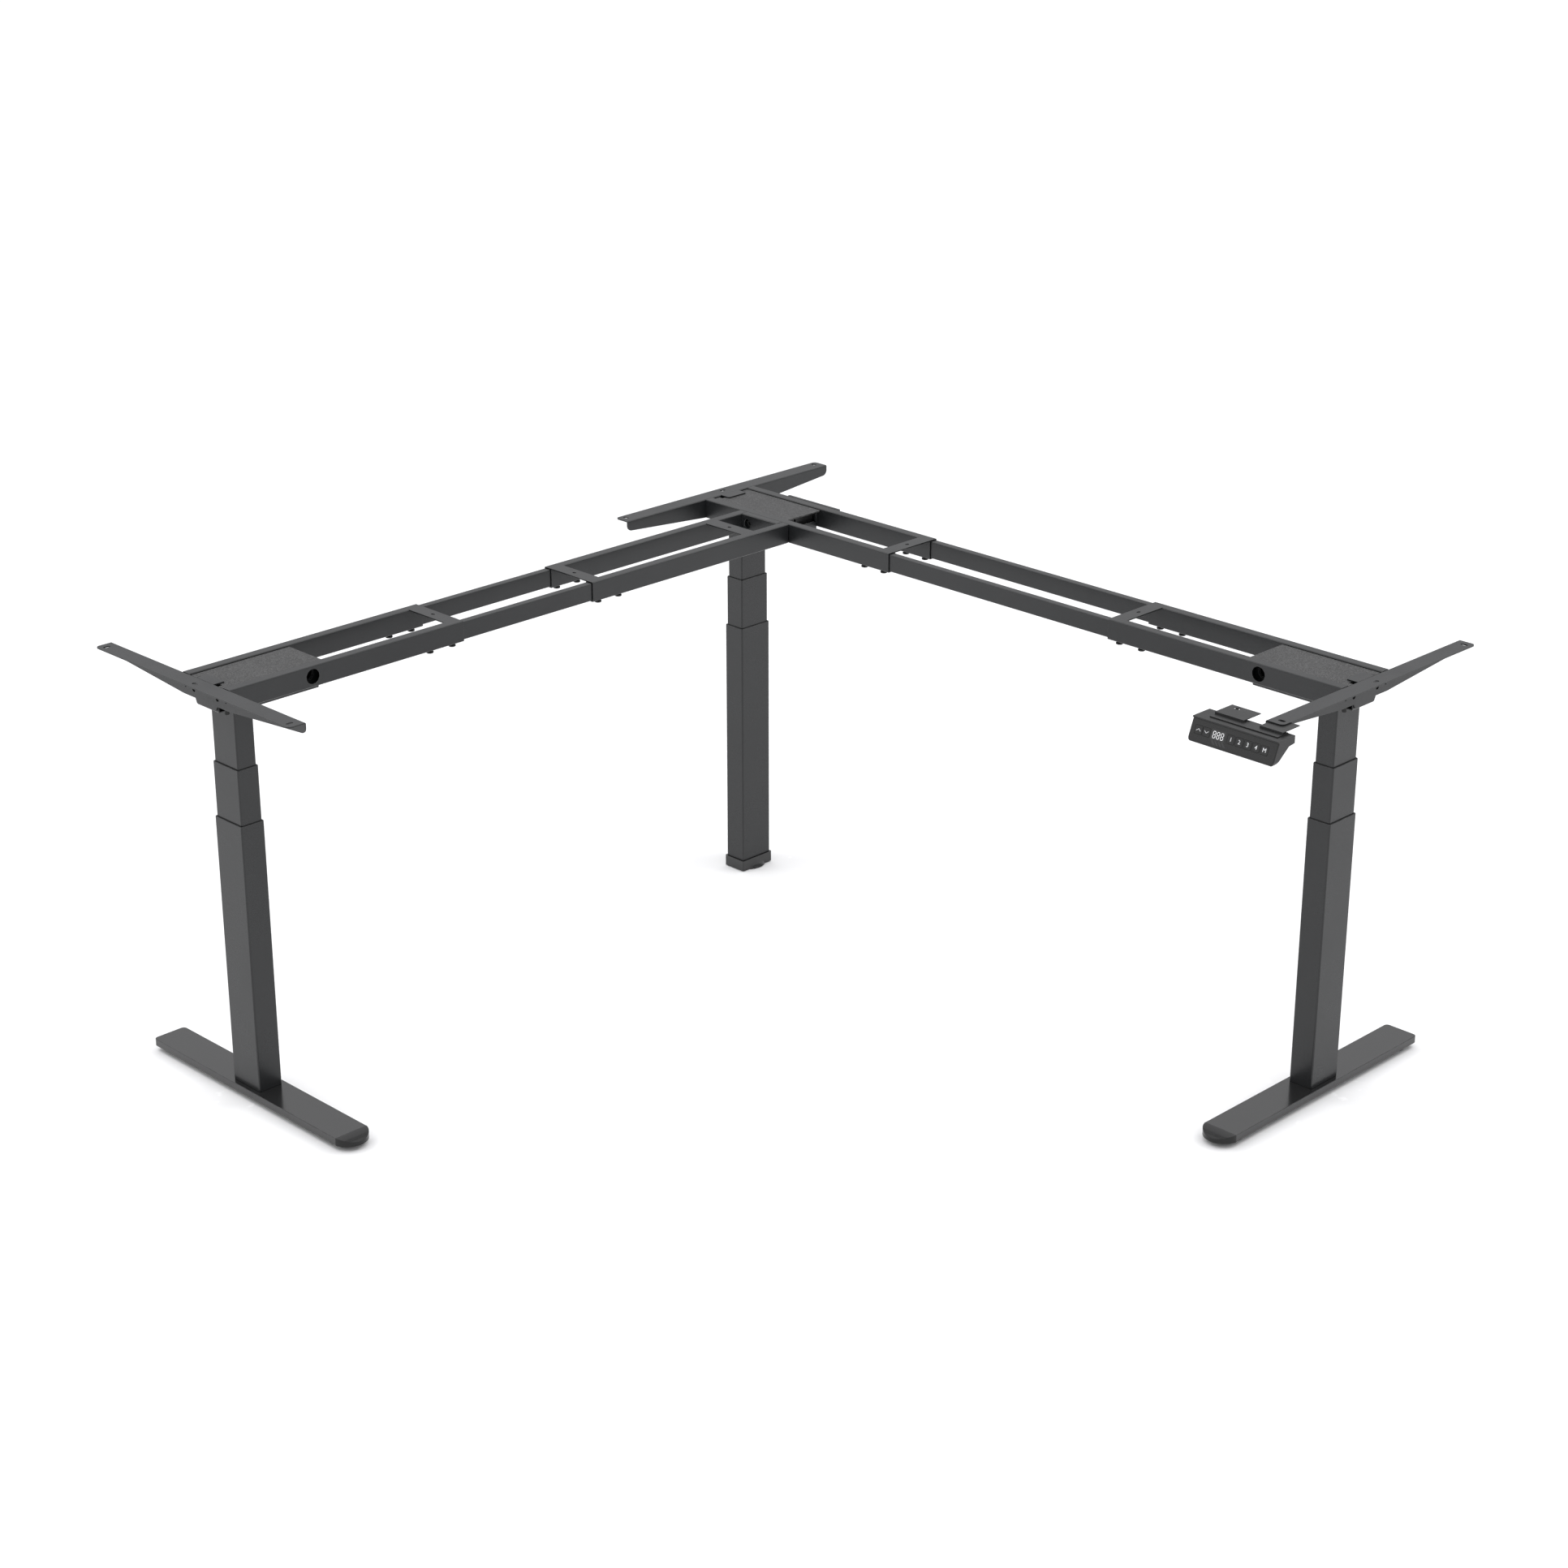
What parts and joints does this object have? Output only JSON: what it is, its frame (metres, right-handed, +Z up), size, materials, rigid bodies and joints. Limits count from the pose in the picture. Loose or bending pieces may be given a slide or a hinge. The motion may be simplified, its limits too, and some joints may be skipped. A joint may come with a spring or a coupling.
{
  "type": "height adjustable corner desk frame",
  "caption": "L-shaped electric standing desk frame: telescopic columns on feet carry two width-adjustable rail arms with side brackets, and a keypad hangs at the user's side.",
  "frame": {"origin": "underside of the corner column's levelling pad, on the floor, on the column's axis", "axes": "+Z up, +X along the main arm away from the corner, -Y along the return arm away from the corner"},
  "size_m": [1.775, 1.763, 0.825],
  "materials": {
    "graphite_steel": "fine satin powder coat",
    "satin_steel": "smooth semi-gloss powder coat",
    "speckled_steel": "coarse speckled powder coat",
    "bare_steel": "rolled thread, oiled",
    "motor_black": "black satin",
    "keypad_plastic": "satin front, fine grain case",
    "keypad_bracket_plastic": "matt grain",
    "button_plastic": "satin, printed white legends",
    "rubber": "matt"
  },
  "bodies": {
    "corner_frame": {"main_front_rail_corner": "graphite_steel", "main_rear_rail_corner": "graphite_steel", "main_cross_plate_corner": "graphite_steel", "return_front_rail_corner": "graphite_steel", "return_rear_rail_corner": "graphite_steel", "return_cross_plate_corner": "graphite_steel", "return_cross_plate_joint": "graphite_steel", "return_joint_angle": "graphite_steel", "mirror_seat_plate": "graphite_steel", "side_bracket_corner": "graphite_steel", "gearbox_tray_corner": "graphite_steel", "cover_plate_corner": "speckled_steel", "inner_tube_corner": "graphite_steel", "gear_motor_corner": "motor_black"},
    "main_sliders": {"main_front_slider": "graphite_steel", "main_rear_slider": "graphite_steel"},
    "main_end": {"main_front_rail_end": "graphite_steel", "main_rear_rail_end": "graphite_steel", "main_cross_plate_end": "graphite_steel", "side_bracket_main": "graphite_steel", "gearbox_tray_main": "graphite_steel", "cover_plate_main": "speckled_steel", "inner_tube_main": "graphite_steel", "gear_motor_main": "motor_black", "keypad_housing": "keypad_plastic", "keypad_bracket": "keypad_bracket_plastic"},
    "return_sliders": {"return_front_slider": "graphite_steel", "return_rear_slider": "graphite_steel"},
    "return_end": {"return_front_rail_end": "graphite_steel", "return_rear_rail_end": "graphite_steel", "return_cross_plate_end": "graphite_steel", "side_bracket_return": "graphite_steel", "gearbox_tray_return": "graphite_steel", "cover_plate_return": "speckled_steel", "inner_tube_return": "graphite_steel", "gear_motor_return": "motor_black"},
    "middle_corner": {"middle_tube_corner": "graphite_steel"},
    "middle_main": {"middle_tube_main": "graphite_steel"},
    "middle_return": {"middle_tube_return": "graphite_steel"},
    "lower_corner": {"outer_tube_corner": "graphite_steel", "base_cap_corner": "satin_steel"},
    "lower_main": {"outer_tube_main": "graphite_steel", "foot_bar_main": "satin_steel"},
    "lower_return": {"outer_tube_return": "graphite_steel", "foot_bar_return": "satin_steel"},
    "screw_corner": {"lead_screw_corner": "bare_steel"},
    "screw_main": {"lead_screw_main": "bare_steel"},
    "screw_return": {"lead_screw_return": "bare_steel"},
    "levelling_pad_corner": {"levelling_pad_corner": "rubber"},
    "glide_front_main": {"glide_front_main": "rubber"},
    "glide_back_main": {"glide_back_main": "rubber"},
    "glide_front_return": {"glide_front_return": "rubber"},
    "glide_back_return": {"glide_back_return": "rubber"},
    "button_raise": {"button_raise": "button_plastic"},
    "button_lower": {"button_lower": "button_plastic"},
    "button_preset_1": {"button_preset_1": "button_plastic"},
    "button_preset_2": {"button_preset_2": "button_plastic"},
    "button_preset_3": {"button_preset_3": "button_plastic"},
    "button_preset_4": {"button_preset_4": "button_plastic"},
    "button_memory": {"button_memory": "button_plastic"}
  },
  "joints": [
    {"name": "main_slider_slide", "type": "slide", "parent": "corner_frame", "child": "main_sliders", "axis": [1, 0, 0], "range_m": [-0.275, 0.09]},
    {"name": "main_end_slide", "type": "slide", "parent": "main_sliders", "child": "main_end", "axis": [1, 0, 0], "range_m": [-0.275, 0.09]},
    {"name": "return_slider_slide", "type": "slide", "parent": "corner_frame", "child": "return_sliders", "axis": [0, -1, 0], "range_m": [-0.155, 0.21]},
    {"name": "return_end_slide", "type": "slide", "parent": "return_sliders", "child": "return_end", "axis": [0, -1, 0], "range_m": [-0.155, 0.21]},
    {"name": "lift_upper_corner", "type": "slide", "parent": "corner_frame", "child": "middle_corner", "axis": [0, 0, -1], "range_m": [-0.103, 0.222]},
    {"name": "lift_lower_corner", "type": "slide", "parent": "middle_corner", "child": "lower_corner", "axis": [0, 0, -1], "range_m": [-0.103, 0.222]},
    {"name": "screw_turn_corner", "type": "hinge", "parent": "corner_frame", "child": "screw_corner", "pos_m": [0, 0, 0.7], "axis": [0, 0, 1], "range_deg": [-3720, 8010]},
    {"name": "lift_upper_main", "type": "slide", "parent": "main_end", "child": "middle_main", "axis": [0, 0, -1], "range_m": [-0.103, 0.222]},
    {"name": "lift_lower_main", "type": "slide", "parent": "middle_main", "child": "lower_main", "axis": [0, 0, -1], "range_m": [-0.103, 0.222]},
    {"name": "screw_turn_main", "type": "hinge", "parent": "main_end", "child": "screw_main", "pos_m": [1.495, 0, 0.7], "axis": [0, 0, 1], "range_deg": [-3720, 8010]},
    {"name": "lift_upper_return", "type": "slide", "parent": "return_end", "child": "middle_return", "axis": [0, 0, -1], "range_m": [-0.103, 0.222]},
    {"name": "lift_lower_return", "type": "slide", "parent": "middle_return", "child": "lower_return", "axis": [0, 0, -1], "range_m": [-0.103, 0.222]},
    {"name": "screw_turn_return", "type": "hinge", "parent": "return_end", "child": "screw_return", "pos_m": [0.123, -1.389, 0.7], "axis": [0, 0, 1], "range_deg": [-3720, 8010]},
    {"name": "levelling_pad_corner_turn", "type": "hinge", "parent": "lower_corner", "child": "levelling_pad_corner", "pos_m": [0, 0, 0.005], "axis": [0, 0, 1], "range_deg": [0, 1440]},
    {"name": "glide_front_main_turn", "type": "hinge", "parent": "lower_main", "child": "glide_front_main", "pos_m": [1.495, -0.25, 0.005], "axis": [0, 0, 1], "range_deg": [0, 1440]},
    {"name": "glide_back_main_turn", "type": "hinge", "parent": "lower_main", "child": "glide_back_main", "pos_m": [1.495, 0.25, 0.005], "axis": [0, 0, 1], "range_deg": [0, 1440]},
    {"name": "glide_front_return_turn", "type": "hinge", "parent": "lower_return", "child": "glide_front_return", "pos_m": [0.373, -1.389, 0.005], "axis": [0, 0, 1], "range_deg": [0, 1440]},
    {"name": "glide_back_return_turn", "type": "hinge", "parent": "lower_return", "child": "glide_back_return", "pos_m": [-0.127, -1.389, 0.005], "axis": [0, 0, 1], "range_deg": [0, 1440]},
    {"name": "button_raise_press", "type": "slide", "parent": "main_end", "child": "button_raise", "axis": [0, 0.9267, -0.3757], "range_m": [0, 0.0008], "stiffness_N_per_m": 1500},
    {"name": "button_lower_press", "type": "slide", "parent": "main_end", "child": "button_lower", "axis": [0, 0.9267, -0.3757], "range_m": [0, 0.0008], "stiffness_N_per_m": 1500},
    {"name": "button_preset_1_press", "type": "slide", "parent": "main_end", "child": "button_preset_1", "axis": [0, 0.9267, -0.3757], "range_m": [0, 0.0008], "stiffness_N_per_m": 1500},
    {"name": "button_preset_2_press", "type": "slide", "parent": "main_end", "child": "button_preset_2", "axis": [0, 0.9267, -0.3757], "range_m": [0, 0.0008], "stiffness_N_per_m": 1500},
    {"name": "button_preset_3_press", "type": "slide", "parent": "main_end", "child": "button_preset_3", "axis": [0, 0.9267, -0.3757], "range_m": [0, 0.0008], "stiffness_N_per_m": 1500},
    {"name": "button_preset_4_press", "type": "slide", "parent": "main_end", "child": "button_preset_4", "axis": [0, 0.9267, -0.3757], "range_m": [0, 0.0008], "stiffness_N_per_m": 1500},
    {"name": "button_memory_press", "type": "slide", "parent": "main_end", "child": "button_memory", "axis": [0, 0.9267, -0.3757], "range_m": [0, 0.0008], "stiffness_N_per_m": 1500}
  ],
  "couplings": [
    {"joint": "lift_lower_corner", "follows": "lift_upper_corner", "ratio": 1},
    {"joint": "screw_turn_corner", "follows": "lift_upper_corner", "rad_per_m": 628.32},
    {"joint": "lift_upper_main", "follows": "lift_upper_corner", "ratio": 1},
    {"joint": "lift_lower_main", "follows": "lift_upper_corner", "ratio": 1},
    {"joint": "screw_turn_main", "follows": "lift_upper_corner", "rad_per_m": 628.32},
    {"joint": "lift_upper_return", "follows": "lift_upper_corner", "ratio": 1},
    {"joint": "lift_lower_return", "follows": "lift_upper_corner", "ratio": 1},
    {"joint": "screw_turn_return", "follows": "lift_upper_corner", "rad_per_m": 628.32}
  ]
}
